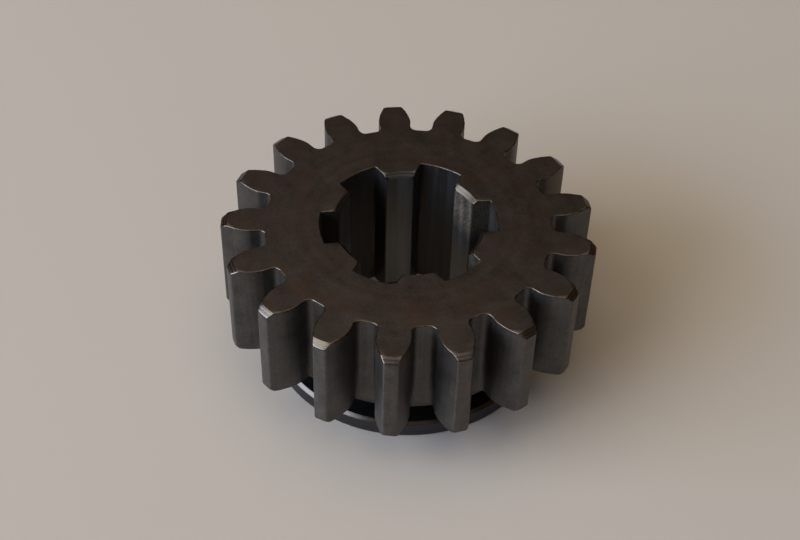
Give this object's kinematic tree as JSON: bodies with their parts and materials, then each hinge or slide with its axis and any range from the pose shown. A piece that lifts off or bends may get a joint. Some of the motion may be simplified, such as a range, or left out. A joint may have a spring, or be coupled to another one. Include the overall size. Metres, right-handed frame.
{
  "type": "sliding transmission gear",
  "caption": "Sliding spur gear for a gearbox shaft: chamfered involute teeth, a straight-sided splined bore, and a shift-fork groove with a thin collar.",
  "frame": {"origin": "on the gear's axis, in the plane of the collar's outer face that it stands on", "axes": "+Z along the bore from the collar to the plain toothed face, +X through the middle of one tooth and one spline groove"},
  "size_m": [0.08, 0.0804, 0.0346],
  "materials": {
    "gear_steel": "machined and hardened steel, oxidised dark brown-grey and lightly oiled, bright at the edges"
  },
  "bodies": {
    "root": {"sliding_gear": "gear_steel"}
  },
  "joints": []
}
